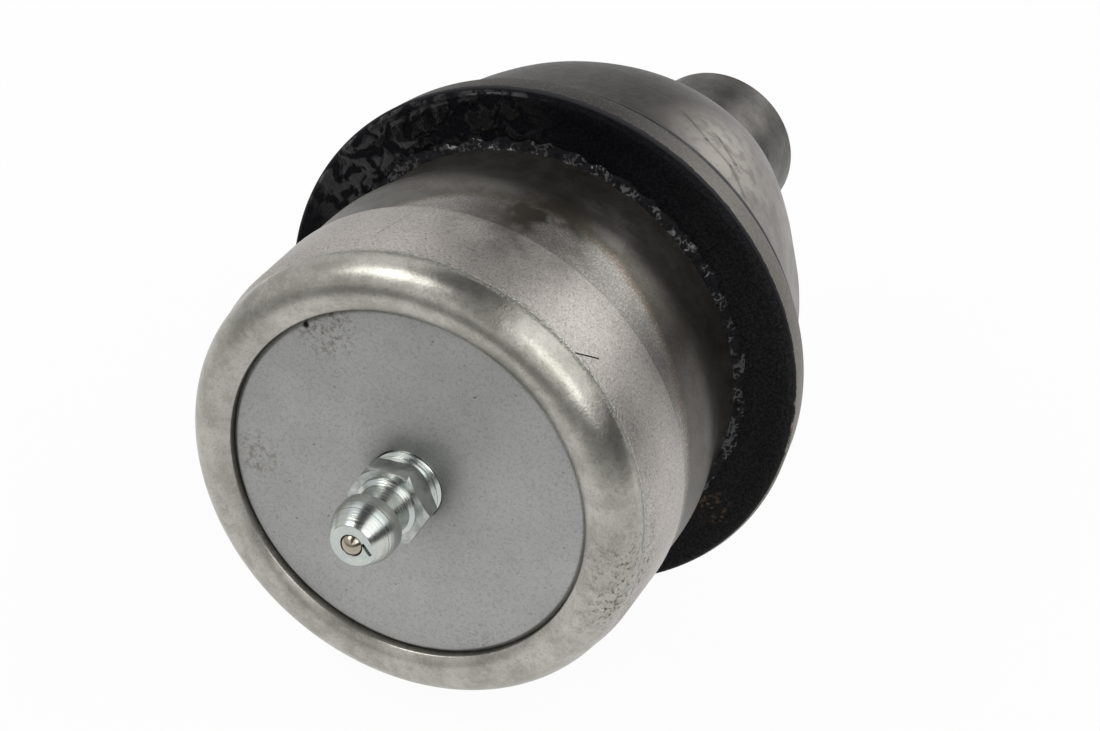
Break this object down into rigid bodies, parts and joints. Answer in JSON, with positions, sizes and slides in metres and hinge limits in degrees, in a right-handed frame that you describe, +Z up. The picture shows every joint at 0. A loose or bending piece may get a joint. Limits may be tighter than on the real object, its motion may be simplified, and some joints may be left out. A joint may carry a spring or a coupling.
{
  "type": "suspension ball joint",
  "caption": "Press-in greaseable suspension ball joint: turned housing with rolled lip over a cover plate, grease fitting, sealed flange, dust boot and plain clamp stud that swings and turns.",
  "frame": {"origin": "on the joint's axis, in the middle of the cylindrical land that presses into the axle end or control arm", "axes": "+Y along the joint's axis from the cover to the stud's end, +Z up with the joint lying on its side, +X to the right seen from the cover"},
  "size_m": [0.0562, 0.0941, 0.0562],
  "materials": {
    "housing_steel": "turned, satin",
    "cover_steel": "matt tumbled",
    "zinc_plate": "bright zinc plate",
    "polished_steel": "polished",
    "stud_steel": "dark, mottled",
    "bearing_steel": "ground",
    "spring_steel": "oiled",
    "collar_steel": "pressed",
    "seal_rubber": "black, semi-matt",
    "boot_rubber": "grey, smooth"
  },
  "bodies": {
    "housing": {"housing": "housing_steel", "cover_plate": "cover_steel", "cover_seal": "seal_rubber", "preload_spring": "spring_steel", "stud_bearing": "bearing_steel", "flange_seal": "seal_rubber", "dust_boot": "boot_rubber", "boot_base_ring": "spring_steel", "grease_fitting": "zinc_plate", "check_spring": "spring_steel"},
    "pressure_seat": {"pressure_seat": "bearing_steel"},
    "boot_end": {"boot_collar": "collar_steel", "boot_garter": "spring_steel"},
    "ball_stud": {"ball_stud": "stud_steel"},
    "check_ball": {"check_ball": "polished_steel"}
  },
  "joints": [
    {"name": "swing_direction", "type": "hinge", "parent": "housing", "child": "pressure_seat", "pos_m": [0, 0.0193, 0], "axis": [0, 1, 0], "continuous": true},
    {"name": "swing", "type": "hinge", "parent": "pressure_seat", "child": "boot_end", "pos_m": [0, 0.0193, 0], "axis": [1, 0, 0], "range_deg": [-25, 25], "deforming": ["dust_boot"]},
    {"name": "stud_rotation", "type": "hinge", "parent": "boot_end", "child": "ball_stud", "pos_m": [0, 0.0193, 0], "axis": [0, 1, 0], "continuous": true},
    {"name": "check_valve", "type": "slide", "parent": "housing", "child": "check_ball", "axis": [0, 1, 0], "range_m": [0, 0.0008], "stiffness_N_per_m": 300, "springref_m": -0.001, "deforming": ["check_spring"]}
  ]
}
